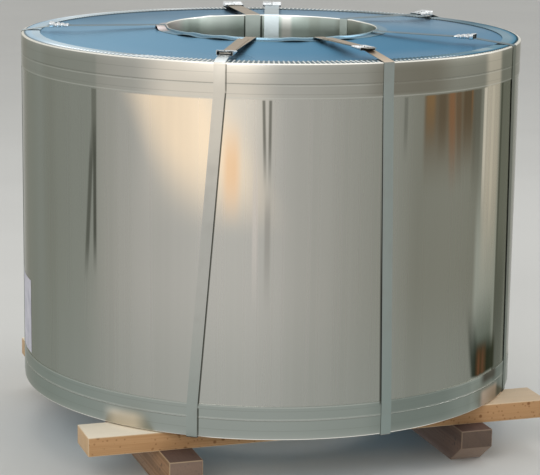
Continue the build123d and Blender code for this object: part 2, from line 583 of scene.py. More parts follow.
# Sharper reflections, which stop where the duller rings begin
SHARP = (
    Sheen(238.6, 14.5, "#F5DFC2", 0.95, 0.2, 0.58, RING_EDGE, 0.22, lean=46),
    Sheen(243.9, 2.6, "#E6BE94", 0.80, 0.2, 0.60, 0.87, 0.14, 0.12),
    Sheen(248.9, 0.8, "#C4BDB6", 0.60, 0.3, 0.40, 0.84, 0.20, 0.20),
    Sheen(250.7, 0.50, "#55554C", 0.80, 0.2, 0.68, RING_EDGE, 0.14, lean=2.7),
    Sheen(251.8, 0.50, "#55554C", 0.80, 0.2, 0.68, RING_EDGE, 0.14),
    Sheen(251.5, 0.9, "#8C8983", 0.60, 0.3, 0.40, 0.72, 0.20, 0.10),
    Sheen(211.1, 0.95, "#64665D", 0.85, 0.5, 0.70, RING_EDGE, 0.10),
    Sheen(211.3, 0.65, "#484A42", 0.90, 0.4, 0.46, 0.86, 0.12, 0.12),
    Sheen(209.6, 0.90, "#4E5048", 0.85, 0.3, 0.44, 0.84, 0.12, 0.12, lean=-6.3),
    Sheen(281.4, 0.7, "#62635B", 0.65, 0.3, 0.74, RING_EDGE, 0.10),
    Sheen(294.3, 8.8, "#5F5341", 0.88, 0.85, 0.66, RING_EDGE, 0.20),
    Sheen(287.8, 1.9, "#7E6240", 0.75, 0.3, 0.76, RING_EDGE, 0.14),
    Sheen(291.2, 1.7, "#564B3B", 0.70, 0.3, 0.72, RING_EDGE, 0.14),
    Sheen(294.5, 1.7, "#80593A", 0.65, 0.2, 0.64, RING_EDGE, 0.22, lean=4),
    Sheen(296.6, 1.2, "#5E4A36", 0.70, 0.3, 0.66, RING_EDGE, 0.20, lean=4),
    Sheen(299.4, 2.0, "#514331", 0.80, 0.5, 0.70, RING_EDGE, 0.18),
    Sheen(300.9, 0.5, "#75573A", 0.60, 0.3, 0.80, RING_EDGE, 0.08),
    Sheen(302.9, 2.2, "#5A594F", 0.90, 0.4, 0.60, RING_EDGE, 0.25),
    Sheen(306.2, 0.9, "#CBC4B5", 0.80, 0.3, 0.55, RING_EDGE, 0.20),
    Sheen(309.9, 0.9, "#C6BEAC", 0.80, 0.3, 0.50, RING_EDGE, 0.20),
    Sheen(314.6, 0.8, "#383C35", 0.60, 0.3),
    Sheen(309.0, 5.5, "#545D54", 0.80, 0.5, RING_FOOT, 0.44, 0.01, 0.16),
    Sheen(304.2, 2.4, "#2F352F", 0.92, 0.3, RING_FOOT, 0.41, 0.01, 0.16, lean=16),
    Sheen(310.6, 6.2, "#262A25", 0.95, 0.6, RING_FOOT, 0.32, 0.01, 0.06),
    Sheen(308.4, 3.0, "#54402F", 0.85, 0.5, RING_FOOT, 0.305, 0.01, 0.04),
    Sheen(307.3, 0.7, "#724B38", 0.55, 0.2, RING_FOOT, 0.29, 0.01, 0.05),
    Sheen(309.2, 0.8, "#704D3C", 0.50, 0.2, RING_FOOT, 0.295, 0.01, 0.05),
    Sheen(27, 2.0, "#565850", 0.60, 0.3, 0.50, RING_EDGE, 0.25),
    Sheen(96, 1.2, "#5C5D55", 0.60, 0.3, 0.45, RING_EDGE, 0.25),
    Sheen(131, 3.0, "#8F7350", 0.55, 0.3, 0.60, RING_EDGE, 0.22),
    Sheen(156, 1.2, "#5D5E56", 0.60, 0.3, 0.48, RING_EDGE, 0.25),
)
# Painted shade in the gaps where a strap stands off: right of the slanted one, left of its neighbour
GAP_SHADE = (
    Sheen(242.6, 0.20, "#4A4C44", 0.80, 0.3, low=0.905, low_fade=0.01),
    Sheen(239.85, 0.25, "#3D3F37", 0.90, 0.4, 0.203, 0.91, 0.01, lean=-7.55),
    Sheen(237.2, 0.25, "#3D3F37", 0.85, 0.4, high=0.203),
    Sheen(276.25, 0.30, "#33352F", 0.80, 0.5, 0.20, 0.91, 0.01, 0.50, lean=2.1),
)
# What the foot of the lower ring mirrors: the pale tops of the timbers, and dark tones beside them
MIRRORED = (
    Sheen(283, 13, "#6A665A", 0.7, 0.4, low=RING_EDGE, low_fade=0.01),
    Sheen(287, 15, "#656E68", 0.6, 0.4, high=RING_FOOT + 5 * MM),
    Sheen(313, 5.5, "#3A332C", 0.85, 0.4, 0.18, 0.22, 0.02),
    Sheen(219.6, 6.5, "#E2DACC", 0.8, 0.3, high=0.182, high_fade=0.025),
    Sheen(313.5, 5.5, "#DCD0C6", 0.75, 0.6, high=0.180, high_fade=0.015),
)
# Painted reflections on the wall of the eye, of the wall itself and of the flange sprung at its left end, and
# painted shade beside a strap
EYE = (
    Sheen(104, 14, "#D2DDD8", 0.9, 0.3),
    Sheen(122, 7, "#8E9994", 0.7, 0.4),
    Sheen(63, 4.0, "#E9E6E2", 0.7, 0.4),
    Sheen(46, 5.0, "#A7B0A8", 0.7, 0.4),
    Sheen(20, 14, "#85887E", 0.8, 0.5),
    Sheen(152, 24, "#D5CACA", 0.85, 0.5, low=0.92, low_fade=0.04),
    Sheen(87.2, 0.5, "#2C302C", 0.90, 0.5),
    Sheen(77.5, 0.7, "#2C302C", 0.90, 0.5),
)


# Finishes


@dataclass(frozen=True)
class TinnedStrip:
    """Electrolytic tinplate, bright finish: the melted tin is a mirror, and the mirror is smeared upright,
    because the rolling lines of the steel under it run round the coil."""

    base: str = "#85867D"
    foot: str = "#878D88"
    streak: str = "#65665F"
    glare: str = "#B9B9B2"
    roughness: float = 0.27
    rolling_line: float = 9 * MM
    line_depth: float = 0.004 * MM

    def material(self) -> Finish:
        """Lays the reflections over the tin, cools it towards the floor and draws the rolling lines.

        The lines are several times as coarse as the real ones, to show, and the streaks are about 36 mm wide.

        Returns:
            The finished material.
        """
        skin = CoilSkin("BrightTinnedStrip")
        colour = skin.reflect(self.base, BROAD_TONES + PALE_LIGHT)
        colour = skin.tint(colour, self.foot, skin.height, 0.2, 0.5, 0.4, 0)
        colour = skin.reflect(colour, SHARP + GAP_SHADE)
        tall = skin.add("Mapping", {"Vector": skin.place, "Scale": (1, 1, 0.01)})
        grain = skin.add("TexNoise", {"Vector": tall, "Scale": 28, "Detail": 2, "Roughness": 0.5})
        colour = skin.tint(colour, self.streak, grain, 0.35, 0.75, 0, 0.08)
        wide = skin.add("Mapping", {"Vector": skin.place, "Scale": (0.05, 0.05, 1)})
        lines = skin.add("TexNoise", {"Vector": wide, "Scale": 1 / self.rolling_line, "Detail": 1})
        rough = {0: grain, 1: 0.3, 2: 0.7, 3: self.roughness - 0.03, 4: self.roughness + 0.03}
        return skin.finish(
            Base_Color=colour, Metallic=1.0, Roughness=skin.add("MapRange", rough), Specular_Tint=self.glare,
            Normal=skin.add("Bump", {"Height": lines, "Distance": self.line_depth}),
            Anisotropic=0.7, Anisotropic_Rotation=0.25,
            Tangent=skin.add("Tangent", direction_type="RADIAL", axis="Z"),
        )


@dataclass(frozen=True)
class RingSteel:
    """Tinned steel sheet bent into angle rings: satin next to the strip, its leg creased by the rolls that bent
    it, the creases drawn in painted shade and painted glints, and painted highlights at the bend and on the
    crimps."""

    base: str = "#87877E"
    foot: str = "#7B8884"
    # The eye's wall: a lighter, cooler copy of the ring's tone, which is painted light
    eye: str = "#B3C0BA"
    # Painted reflections on the outer flanges, lighter on the left and darker on the right, and their painted
    # glare
    flange_left: str = "#8597A4"
    flange_right: str = "#3F6478"
    flange_glare: str = "#CBD7DE"
    eye_flange: str = "#7BA0B8"
    # Painted highlights on the eye's flange: on its sprung left end and along its far side
    sprung: str = "#D5CACA"
    far_lip_highlight: str = "#D6E1E6"
    lip_shade: str = "#6488A0"
    # Painted highlights on the rim's bend and the lip's eye side, and on the pleats' crests
    bend: str = "#FFFCF4"
    crest: str = "#F4F8FA"
    # Painted shade and painted glints along the creases
    line: str = "#6A6C65"
    glint: str = "#C3C5BD"
    glare: str = "#C4C4BE"
    roughness: float = 0.32
    # For each crease: millimetres in from the strip's edge, half its width, its share, and whether it is a
    # painted glint rather than painted shade
    creases: tuple[tuple[float, float, float, bool], ...] = (
        (18, 1.0, 0.25, False), (41, 1.7, 0.50, False), (44.5, 1.2, 0.30, True), (63, 1.0, 0.25, False),
        (71.5, 1.5, 0.32, True),
    )
    # Where the flange glares: the angle, and how strongly
    glares: tuple[tuple[float, float], ...] = ((118, 0.9), (212, 0.25), (40, 0.45))

    def material(self) -> Finish:
        """Colours the legs, paints shade and glints along their creases, then picks out the flanges and paints
        highlights on the bend and the crests and shade on the lip.

        Returns:
            The finished material.
        """
        skin = CoilSkin("SatinTinnedRing")
        colour = skin.reflect(skin.reflect(self.base, BROAD_TONES, 0.8), PALE_LIGHT)
        colour = skin.tint(colour, self.foot, skin.height, 0.2, 0.5, 0.6, 0)
        from_middle = skin.apart(skin.height, SIZES.middle)
        for depth, half, share, bright in self.creases:
            gap = skin.apart(from_middle, SIZES.top - SIZES.middle - depth * MM)
            tone = self.glint if bright else self.line
            colour = skin.tint(colour, tone, gap, half * 0.4 * MM, half * MM, share, 0)
        colour = skin.reflect(colour, MIRRORED + GAP_SHADE)
        wall = skin.reflect(self.eye, EYE)
        colour = skin.add("Mix", {0: skin.in_eye(0.9), 6: colour, 7: wall}, **BLEND)
        reach = SIZES.top - SIZES.middle
        at_end = skin.add("MapRange", {0: from_middle, 1: reach - 30 * MM, 2: reach - 20 * MM})
        colour = skin.tint(colour, self.flange(skin), skin.lying, 0.7, 0.92, 0, at_end)
        # Painted highlights on the bend and the crests, and painted shade on the lip
        for paint_light in (self.paint_bend_highlight, self.paint_crest_highlights, self.shade_lip):
            colour = paint_light(skin, colour)
        scuff = skin.add("TexNoise", {"Vector": skin.place, "Scale": 6, "Detail": 1})
        rough = {0: scuff, 1: 0.3, 2: 0.7, 3: self.roughness - 0.04, 4: self.roughness + 0.04}
        return skin.finish(
            Base_Color=colour, Metallic=1.0, Roughness=skin.add("MapRange", rough), Specular_Tint=self.glare,
        )

    def flange(self, skin: CoilSkin) -> Socket:
        """Colours what lies flat: the outer flanges, with painted reflections lighter on the left and glare in
        places, and the eye's, with painted highlights.

        Args:
            skin: the ring's material.

        Returns:
            The flanges' colour.
        """
        side = skin.add("Math", {0: skin.turn}, operation="SINE")
        outer = skin.tint(self.flange_left, self.flange_right, side, -0.6, 0.6)
        outer = skin.reflect(outer, [Sheen(at, 32, self.flange_glare, share, 0.4) for at, share in self.glares])
        far_side, left_end = Sheen(71.7, 75, self.far_lip_highlight, 0.9, 0.5), Sheen(165, 24, self.sprung, 1.0, 0.6)
        inner = skin.reflect(self.eye_flange, (far_side, left_end))
        return skin.add("Mix", {0: skin.in_eye(), 6: outer, 7: inner}, **BLEND)

    def paint_bend_highlight(self, skin: CoilSkin, colour: Socket) -> Socket:
        """Paints a highlight on what is turned between upright and flat: the rim's bend and the eye side of the
        lip.

        Args:
            skin: the ring's material.
            colour: what it covers.

        Returns:
            The colour with its bright bends.
        """
        most, bend = 0.95, SIZES.rim_radius - 5 * MM
        slanted = skin.add("MapRange", {0: skin.lying, 1: 0.97, 2: 0.85, 4: most}, **EASE)
        on_bend = skin.add("MapRange", {0: skin.radius, 1: bend - 2.5 * MM, 2: bend, 4: most}, **EASE)
        share = skin.add("Math", {0: slanted, 1: on_bend}, operation="MAXIMUM")
        lip_back = SIZES.eye_radius + 2.2 * MM
        behind = skin.add("MapRange", {0: skin.radius, 1: lip_back, 2: lip_back + 1 * MM}, **EASE)
        at_rim = {0: skin.radius, 1: bend - 5 * MM, 2: bend, 3: behind, 4: 0}
        hidden = skin.add("MapRange", at_rim, **EASE)
        shown = skin.add("MapRange", {0: hidden, 3: share, 4: 0})
        return skin.tint(colour, self.bend, skin.lying, 0.08, 0.4, 0, shown)

    def paint_crest_highlights(self, skin: CoilSkin, colour: Socket) -> Socket:
        """Paints highlights on the crests of the pleats, at the front and the back, and near the rim further
        round.

        Args:
            skin: the ring's material.
            colour: what it covers.

        Returns:
            The colour with its bright crests.
        """
        side = skin.add("Math", {0: skin.turn}, operation="SINE")
        sideways = skin.apart(side, -0.08)
        inner = skin.add("MapRange", {0: sideways, 1: 0.30, 2: 0.50, 3: 0.53, 4: 0.580}, **EASE)
        outer = skin.add("Math", {0: inner, 1: 6 * MM}, operation="ADD")
        highlit = skin.add("MapRange", {0: sideways, 1: 0.68, 2: 0.84, 3: 1, 4: 0}, **EASE)
        on_rim = skin.add("MapRange", {0: skin.radius, 1: inner, 2: outer, 4: highlit}, **EASE)
        over = skin.add("Math", {0: skin.height, 1: SIZES.flange_level}, operation="SUBTRACT")
        return skin.tint(colour, self.crest, over, 0.35 * MM, 0.9 * MM, 0, on_rim)

    def shade_lip(self, skin: CoilSkin, colour: Socket) -> Socket:
        """Darkens the flank of the rolled lip that faces the cover at the front.

        Args:
            skin: the ring's material.
            colour: what it covers.

        Returns:
            The colour with its shaded flank.
        """
        flank = SIZES.eye_radius + 4 * MM
        near = skin.add("MapRange", {0: skin.radius, 1: flank, 2: flank + 0.6 * MM, 4: 0.85}, **EASE)
        far = {0: skin.radius, 1: flank + 3 * MM, 2: flank + 2.4 * MM, 4: near}
        return skin.tint(colour, self.lip_shade, skin.lying, 0.75, 0.45, 0, skin.add("MapRange", far, **EASE))


@dataclass(frozen=True)
class StrapSteel:
    """Cold rolled steel strapping, zinc painted and waxed: satin and a little blue where it stands upright,
    and blue-grey where it lies, with painted reflections over it: tan at the front, glossy in places."""

    upright: str = "#828A86"
    lying: str = "#7F929E"
    # Painted reflections where the strap lies: a tan one at the front, glossy ones in places
    tan_sheen: str = "#BDAE9E"
    glossy: str = "#DDE9F0"
    # A lighter tone where the strap runs through the eye: painted light, as on the eye's wall
    in_eye: str = "#B4BEB9"
    foot: str = "#7B8884"
    worn: str = "#7E7A74"
    glare: str = "#B9B9B4"
    roughness: float = 0.34
    seal_radius: float = 0.52

    def material(self) -> Finish:
        """Lays the tin's painted reflections over the upright runs, and painted tan and glossy reflections over
        the lying ones.

        Returns:
            The finished material.
        """
        skin = CoilSkin("WaxedSteelStrapping")
        colour = skin.reflect(self.upright, BROAD_TONES + PALE_LIGHT, 0.85)
        colour = skin.tint(colour, self.foot, skin.height, 0.15, 0.5, 0.65, 0)
        # Painted light: the lighter tone in the eye
        colour = skin.add("Mix", {0: skin.in_eye(0.9), 6: colour, 7: self.in_eye}, **BLEND)
        colour = Sheen(71.6, 5.5, self.glossy, 0.65, 0.9).lay(skin, colour)
        # Painted tan reflections on the lying runs at the front and on a back strap
        tan_sheens = Sheen(258, 40, self.tan_sheen, 1.0, 0.7), Sheen(83, 5.5, self.tan_sheen, 0.9, 0.8)
        lying = skin.reflect(self.lying, tan_sheens + (Sheen(71.6, 5, self.glossy, 0.8, 0.8),))
        shiny = Sheen(165, 8, self.glossy, 0.8, 0.8), Sheen(241.2, 6, self.glossy, 0.7, 0.8)
        past_seal = skin.reflect(lying, shiny)
        lying = skin.tint(lying, past_seal, skin.radius, self.seal_radius, self.seal_radius + 10 * MM)
        colour = skin.tint(colour, lying, skin.lying, 0.5, 0.8)
        cloud = skin.add("TexNoise", {"Vector": skin.place, "Scale": 18, "Detail": 2, "Roughness": 0.5})
        colour = skin.tint(colour, self.worn, cloud, 0.45, 0.8, 0, 0.20)
        rough = {0: cloud, 1: 0.3, 2: 0.7, 3: self.roughness - 0.05, 4: self.roughness + 0.08}
        return skin.finish(
            Base_Color=colour, Metallic=1.0, Roughness=skin.add("MapRange", rough), Specular_Tint=self.glare,
            Normal=skin.add("Bump", {"Height": cloud, "Distance": 0.03 * MM}),
        )


@dataclass(frozen=True)
class SealZinc:
    """Galvanised strip stamped into open seals: bright spangled zinc, bruised where the jaws closed."""

    base: str = "#D8DBDC"
    spangle: str = "#B4B9BC"
    roughness: float = 0.26
    spangle_size: float = 4 * MM

    def material(self) -> Finish:
        """Spangles the zinc.

        Returns:
            The finished material.
        """
        skin = Skin("GalvanisedSeal")
        cells = skin.add("TexVoronoi", {"Vector": skin.place, "Scale": 1 / self.spangle_size}, "Color")
        tone = skin.add("SeparateColor", {0: cells})
        rough = {0: tone, 3: self.roughness - 0.05, 4: self.roughness + 0.08}
        return skin.finish(
            Base_Color=skin.add("Mix", {0: tone, 6: self.base, 7: self.spangle}, **BLEND),
            Metallic=1.0, Roughness=skin.add("MapRange", rough),
        )


@dataclass(frozen=True)
class LacqueredSheet:
    """Blue lacquered steel sheet: a clear blue lacquer rolled over bright tin, so that its glare is blue too
    and only broad dents show."""

    # Painted reflections: the near side from left to right, and the far side from left to right
    left: str = "#98B5C6"
    right: str = "#53809B"
    away_left: str = "#566573"
    away_right: str = "#979FA7"
    glare: str = "#A9C6DA"
    roughness: float = 0.30

    def material(self) -> Finish:
        """Paints reflections into the lacquer, lighter on the left and darker to the right, greys it at the far
        edge, and dents it softly.

        Returns:
            The finished material.
        """
        skin = CoilSkin("BlueLacqueredSheet")
        near = skin.tint(self.left, self.right, skin.side, -0.50, 0.40)
        away = skin.tint(self.away_left, self.away_right, skin.side, -0.50, 0.40)
        colour = skin.tint(near, away, skin.nearness, 0.10, -0.35, 0, 0.85)
        dents = skin.add("TexNoise", {"Vector": skin.place, "Scale": 3.5, "Detail": 1})
        rough = {0: dents, 1: 0.3, 2: 0.7, 3: self.roughness - 0.03, 4: self.roughness + 0.05}
        return skin.finish(
            Base_Color=skin.tint(colour, self.right, dents, 0.35, 0.7, 0, 0.15), Metallic=1.0,
            Roughness=skin.add("MapRange", rough), Specular_Tint=self.glare,
            Normal=skin.add("Bump", {"Height": dents, "Distance": 0.4 * MM}),
        )


@dataclass(frozen=True)
class SawnTimber:
    """Sawn softwood: pale early wood between resinous late rings, knots, a top painted lighter on the beams
    where light falls on it, and arrises a little paler."""

    name: str
    along: Vector
    pale: str
    grain: str
    knot: str
    end: str
    # The top's tone from end to end: painted light on the beams
    top: str
    far_top: str
    arris: str
    ring: float = 7 * MM
    seed: float = 0.0

    def material(self) -> Finish:
        """Draws the rings round a heart beside the timber, long grain along it, and knots, then tints its ends
        and top and pales its arrises.

        Returns:
            The finished material.
        """
        skin = Skin(self.name)
        runs_x = abs(self.along.x) > 0.5
        shift = (self.seed, self.seed * 0.7, self.seed * 1.3)
        slow = (0.06, 1, 1) if runs_x else (1, 0.06, 1)
        along = skin.add("Mapping", {"Vector": skin.place, "Scale": slow, "Location": shift})
        drift = skin.add("TexNoise", {"Vector": along, "Scale": 5, "Detail": 3}, "Color")
        drift = skin.add("VectorMath", {0: drift, "Scale": 0.05}, operation="SCALE")
        warped = skin.add("VectorMath", {0: along, 1: drift}, operation="ADD")
        rings = {"Vector": warped, "Scale": 1 / (self.ring * 20), "Distortion": 2.0, "Detail": 2.0}
        wave = skin.add("TexWave", rings, "Fac", wave_type="RINGS", rings_direction="X" if runs_x else "Y")
        colour = skin.tint(self.pale, self.grain, wave, 0.5, 0.95, 0, 0.45)
        fine = (0.06, 6, 6) if runs_x else (6, 0.06, 6)
        fine = skin.add("Mapping", {"Vector": skin.place, "Scale": fine, "Location": shift})
        fibre = skin.add("TexNoise", {"Vector": fine, "Scale": 45, "Detail": 4, "Roughness": 0.6})
        colour = skin.tint(colour, self.grain, fibre, 0.4, 0.75, 0, 0.40)
        blotch = skin.add("TexNoise", {"Vector": along, "Scale": 9, "Detail": 2})
        colour = skin.tint(colour, self.knot, blotch, 0.45, 0.75, 0, 0.35)
        shifted = skin.add("Mapping", {"Vector": skin.place, "Location": shift})
        # Knots of a few millimetres, then specks of resin and dirt
        for scale, full, none, share in ((34, 0.08, 0.20, 0.80), (80, 0.13, 0.25, 0.50)):
            spots = skin.add("TexVoronoi", {"Vector": shifted, "Scale": scale}, "Distance")
            colour = skin.tint(colour, self.knot, spots, full, none, share, 0)
        height = skin.add("Math", {0: wave, 1: 0.3, 2: fibre}, operation="MULTIPLY_ADD")
        return skin.finish(
            Base_Color=self.tint_ends_and_top(skin, colour), Specular_IOR_Level=0.35,
            Roughness=skin.add("MapRange", {0: fibre, 1: 0.3, 2: 0.7, 3: 0.62, 4: 0.82}),
            Normal=skin.add("Bump", {"Height": height, "Distance": 0.4 * MM}),
        )

    def tint_ends_and_top(self, skin: Skin, colour: Socket) -> Socket:
        """Tints the ends and the top, which is painted light on the beams and greys towards its far end, and
        pales the arrises.

        Args:
            skin: the timber's material.
            colour: the clean timber's colour.

        Returns:
            The tinted colour.
        """
        normal = skin.add("NewGeometry", output="True Normal")
        normal = skin.add("VectorMath", {0: normal}, operation="ABSOLUTE")
        along = tuple(self.along)
        lengthways = skin.add("VectorMath", {0: normal, 1: along}, "Value", operation="DOT_PRODUCT")
        side_x, side_y, up = skin.add("SeparateXYZ", {0: normal}).node.outputs
        length = skin.add("VectorMath", {0: skin.place, 1: along}, "Value", operation="DOT_PRODUCT")
        # The top is painted light on the beams, greying towards the far end
        top = skin.tint(self.top, self.far_top, length, -0.4, 0.4)
        colour = skin.tint(colour, self.end, lengthways, 0.5, 0.8, 0, 0.7)
        colour = skin.tint(colour, top, up, 0.5, 0.8, 0, 0.85)
        most = skin.add("Math", {0: side_x, 1: side_y}, operation="MAXIMUM")
        most = skin.add("Math", {0: most, 1: up}, operation="MAXIMUM")
        share = skin.add("MapRange", {0: most, 1: 0.93, 2: 0.98, 3: 0.45, 4: 0})
        return skin.add("Mix", {0: share, 6: colour, 7: self.arris}, **BLEND)


@dataclass(frozen=True)
class LabelPaper:
    """Uncoated paper glued to the tin: matt white, faintly cockled."""

    base: str = "#D2D1DA"
    shade: str = "#BDBDC8"

    def material(self) -> Finish:
        """Mottles the sheet and cockles it.

        Returns:
            The finished material.
        """
        skin = Skin("UncoatedPaper")
        cloud = skin.add("TexNoise", {"Vector": skin.place, "Scale": 25, "Detail": 4})
        return skin.finish(
            Base_Color=skin.tint(self.base, self.shade, cloud, 0.3, 0.75),
            Roughness=skin.add("MapRange", {0: cloud, 1: 0.3, 2: 0.7, 3: 0.75, 4: 0.9}),
            Normal=skin.add("Bump", {"Height": cloud, "Distance": 0.6 * MM}),
        )


# Sub-assemblies


@dataclass
class WoundCoil:
    """The wound strip, its turns slipped up a little inside."""

    sizes: CoilSizes = SIZES
    slip: float = 2 * MM
    slip_radius: float = 426.5 * MM
    segments: int = 360

    def build(self, skin: Finish) -> None:
        """Turns the strip as one body with its bore.

        Args:
            skin: the strip's material.
        """
        s = self.sizes
        profile = [
            (s.coil_radius, s.bottom), (s.coil_radius, s.top),
            (self.slip_radius, s.top), (self.slip_radius, s.top + self.slip),
            (s.bore_radius, s.top + self.slip), (s.bore_radius, s.bottom + self.slip),
            (self.slip_radius, s.bottom + self.slip), (self.slip_radius, s.bottom),
        ]
        dress(turned("wound_strip", profile, self.segments), skin, Slot.TINNED, "steel_coil")


@dataclass
class EndCover:
    """A coated sheet over one end, raised to the eye's lip on top."""

    end: End
    sizes: CoilSizes = SIZES
    clearance: float = 0.3 * MM
    segments: int = 256
    # Radii between the outer edge and the dish, and between the dish's foot and the eye
    flat_rings: Point = (0.560, 0.491)
    dish_rings: tuple[float, ...] = (0.42, 0.36, 0.30)

    def build(self, skin: Finish) -> None:
        """Turns the sheet with its dish.

        Args:
            skin: the sheet's material.
        """
        s = self.sizes
        inner, outer = s.bore_radius + self.clearance, s.coil_radius - self.clearance
        radii = [outer, *self.flat_rings, s.dish_radius, *self.dish_rings, inner]
        top = self.end is End.TOP
        inside = [(r, s.top + s.rise(r) if top else s.bottom) for r in radii]
        outside = [(r, z + self.end.value * s.cover) for r, z in inside]
        piece = turned(f"cover_sheet_{self.end.word}", inside + outside[::-1], self.segments)
        dress(piece, skin, Slot.COVER, f"end_cover_{self.end.word}")


@dataclass
class OuterEdgeRing:
    """An angle ring round a rim. Its flange is gathered into pleats that die out at the bend."""

    end: End
    sizes: CoilSizes = SIZES
    pleats: int = 332
    bend: float = 3.2 * MM
    hem: float = 42 * MM
    step: float = 0.15 * MM
    gauge: float = 0.8 * MM
    # Across the flange: how far in from the rim, and the share of a pleat's height there
    ridge: tuple[Point, ...] = ((7 * MM, 0.5), (13 * MM, 0.9), (26 * MM, 1.0), (42 * MM, 1.0), (44 * MM, 0.8))
    # Round a pleat: the share of its width to each next line, and which way that line goes from the last one
    lines: tuple[tuple[float, int], ...] = ((0.28, 1), (0.28, -1), (0.44, 0))

    def section(self) -> list[Point]:
        """Gives the upper ring's outside.

        Returns:
            Radii and heights from the leg's end to the flange's edge.
        """
        s = self.sizes
        rim, top, hem = s.rim_radius, s.flange_level, s.top - self.hem
        turns = [math.pi * share / 6 for share in range(4)]
        bend = [(rim - self.bend * (1 - math.cos(a)), top - self.bend * (1 - math.sin(a))) for a in turns]
        leg = [(rim - self.step, s.top - s.outer_leg), (rim - self.step, hem - self.step), (rim, hem)]
        return leg + bend + [(rim - inset, top) for inset, _ in self.ridge]

    def build(self, skin: Finish) -> None:
        """Makes one pleat, sets copies of it round the rim, and gives the sheet its thickness.

        Args:
            skin: the ring's material.
        """
        pitch = 2 * math.pi / self.pleats
        section = self.section()
        (radius, height), plane = section[0], bpy.ops.mesh.primitive_plane_add
        piece = start(plane, f"edge_ring_{self.end.word}", size=2 * MM, location=(radius, 0, height))
        with editing():
            draw_line(section)
            swept = 0.0
            for share, direction in self.lines:
                sweep(pitch * share)
                swept += pitch * share
                self.shape_line(piece, swept, direction)
            bpy.ops.mesh.select_all(action="SELECT")
            sweep(2 * math.pi - pitch, self.pleats - 1, copies=True)
            weld()
        modify(piece, "SOLIDIFY", thickness=self.gauge, offset=-1, use_even_offset=True)
        if self.end is End.BOTTOM:
            with editing():
                bpy.ops.transform.resize(value=(1, 1, -1), center_override=(0, 0, self.sizes.middle))
                bpy.ops.mesh.normals_make_consistent(inside=False)
        dress(piece, skin, Slot.RING, f"outer_edge_ring_{self.end.word}", smooth=28)

    def shape_line(self, piece: Piece, swept: float, direction: int) -> None:
        """Raises the line that was just swept to the pleat's crest, or lowers it, and leaves it selected.

        Args:
            piece: the ring that is being edited.
            swept: how far round the line lies, either way.
            direction: 1 to raise it, -1 to lower it and 0 to leave it.
        """
        def on_line(place: Vector) -> bool:
            """Whether a point is on the line."""
            return abs(abs(math.atan2(place.y, place.x)) - swept) < 0.0001

        if direction:
            for inset, share in self.ridge:
                at = self.sizes.rim_radius - inset
                pick(piece, lambda p: on_line(p) and abs(math.hypot(p.x, p.y) - at) < 0.2 * MM)
                raise_by(direction * share * self.sizes.crimp_height)
        pick(piece, on_line)


@dataclass
class InnerEdgeRing:
    """An angle ring in the eye, with a rolled lip. On top its flange has sprung off the cover in places."""

    end: End
    sizes: CoilSizes = SIZES
    segments: int = 240
    roll: float = 2.5 * MM
    gauge: float = 0.8 * MM
    fold: float = 20 * MM
    reach: float = 9 * MM
    pull: float = 35 * MM
    # Where the flange has sprung: the angle, and how many millimetres it stands up
    springs: tuple[Point, ...] = (
        (172, 8.0), (206.7, 3.5), (226.5, 3.0), (262.5, 2.5), (290, 2.5), (20, 2.5), (110, 2.5),
    )

    def build(self, skin: Finish) -> None:
        """Turns the ring's outside, gives it its thickness and pulls the flange up where it has sprung.

        Args:
            skin: the ring's material.
        """
        s, up, top = self.sizes, self.end.value, self.end is End.TOP
        eye, lip_outer, edge = s.eye_radius, s.eye_radius + 2 * self.roll, s.bore_radius + s.inner_flange
        strip_edge = s.top if top else s.bottom
        lip = s.lip if top else s.under_cover - s.crimp_height
        leg = [(eye, strip_edge - up * s.inner_leg), (eye, strip_edge - up * self.fold)]
        arc = [math.pi * step / 6 for step in range(7)]
        roll = [(eye + self.roll * (1 - math.cos(a)), lip + up * self.roll * (math.sin(a) - 1)) for a in arc]
        radii = (lip_outer + 0.5 * MM, lip_outer + 6 * MM, edge - 8 * MM, edge)
        flange = [(r, s.flange_level + s.rise(r) if top else s.under_cover) for r in radii]
        piece = turned(f"eye_ring_{self.end.word}", leg + roll + flange, self.segments, closed=False)
        # The leg, by far the most of what stands upright, faces the axis
        face_away(piece, lambda f: -f.area * f.normal.xy.dot(f.center.xy) if abs(f.normal.z) < 0.2 else 0)
        modify(piece, "SOLIDIFY", thickness=self.gauge, offset=-1)
        if top:
            self.spring(piece, edge)
        dress(piece, skin, Slot.RING, f"inner_edge_ring_{self.end.word}", smooth=40)

    def spring(self, piece: Piece, edge: float) -> None:
        """Pulls stretches of the flange up off the cover, as a hand under the sheet would.

        Args:
            piece: the ring, in object mode.
            edge: radius of the flange's edge.
        """
        with editing():
            for angle, lift in self.springs:
                turn = math.radians(angle)
                target = Vector((edge * math.cos(turn), edge * math.sin(turn)))
                pick(piece, lambda p: (p.xy - target).length < self.reach)
                raise_by(
                    lift * MM, use_proportional_edit=True, proportional_edit_falloff="SMOOTH",
                    proportional_size=self.pull,
                )


